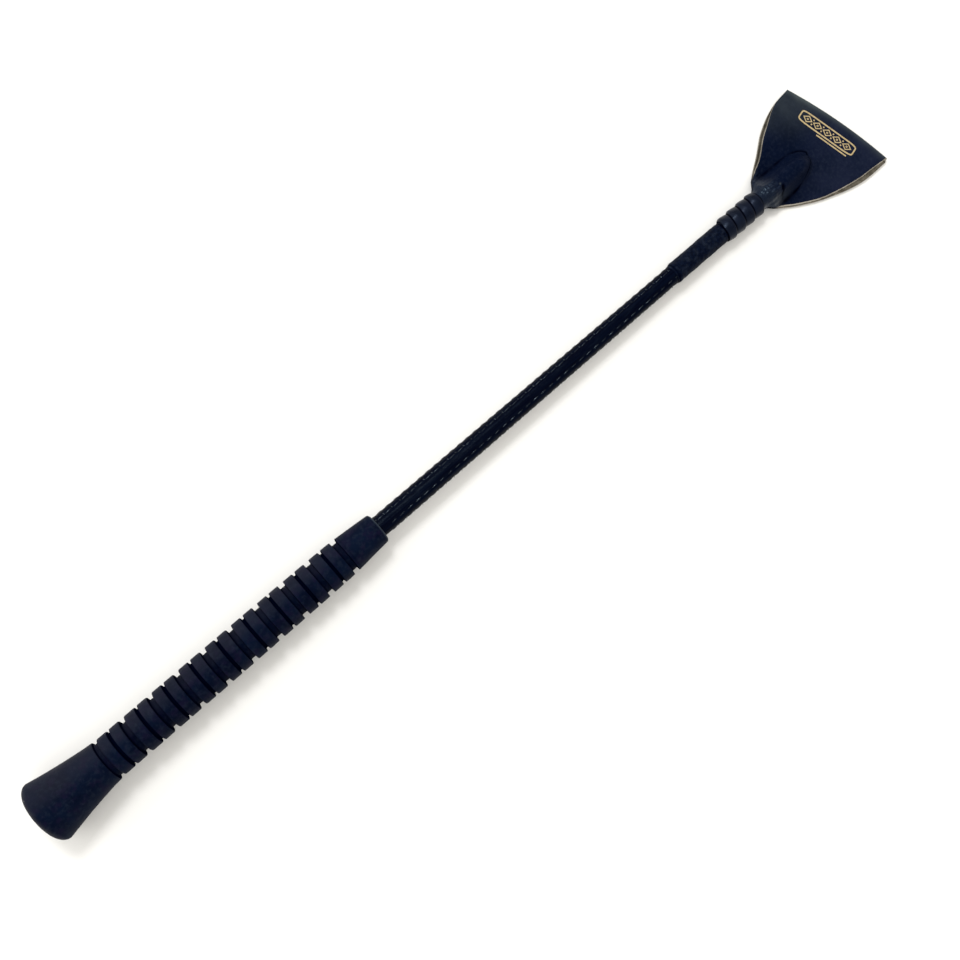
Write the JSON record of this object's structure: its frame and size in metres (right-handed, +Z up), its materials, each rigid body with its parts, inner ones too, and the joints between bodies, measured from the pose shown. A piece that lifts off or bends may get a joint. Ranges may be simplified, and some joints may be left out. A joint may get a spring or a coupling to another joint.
{
  "type": "riding crop",
  "caption": "Short riding crop with a flared, ribbed rubber grip, a tapered braided shaft, thread and lace bindings and a broad folded leather keeper that flexes.",
  "frame": {"origin": "bottom centre of the crop's box as it lies on a table", "axes": "+X from the flared butt towards the keeper, +Z up from the table, +Y towards the keeper's shorter side"},
  "size_m": [0.5183, 0.0609, 0.0312],
  "materials": {
    "grip_rubber": "matte moulded rubber",
    "fibreglass": "ground fibreglass rod",
    "filler": "extruded filler",
    "braided_thread": "glossy waxed braid",
    "whipping_thread": "waxed thread",
    "lace_leather": "polished lace",
    "keeper_leather": "smooth dyed grain, raw cut edge"
  },
  "bodies": {
    "root": {"rubber_grip": "grip_rubber", "core_rod": "fibreglass", "filler_sleeve": "filler", "braided_cover": "braided_thread", "tip_whipping": "whipping_thread", "keeper_whipping": "whipping_thread", "binding_lace": "lace_leather", "keeper_root_upper": "keeper_leather", "keeper_root_lower": "keeper_leather"},
    "keeper": {"keeper_flap": "keeper_leather"}
  },
  "joints": [
    {"name": "keeper_flex", "type": "hinge", "parent": "root", "child": "keeper", "pos_m": [0.22946, -0.003, 0.0017], "axis": [0, -1, 0], "range_deg": [-45, 45], "stiffness_Nm_per_rad": 0.08}
  ]
}
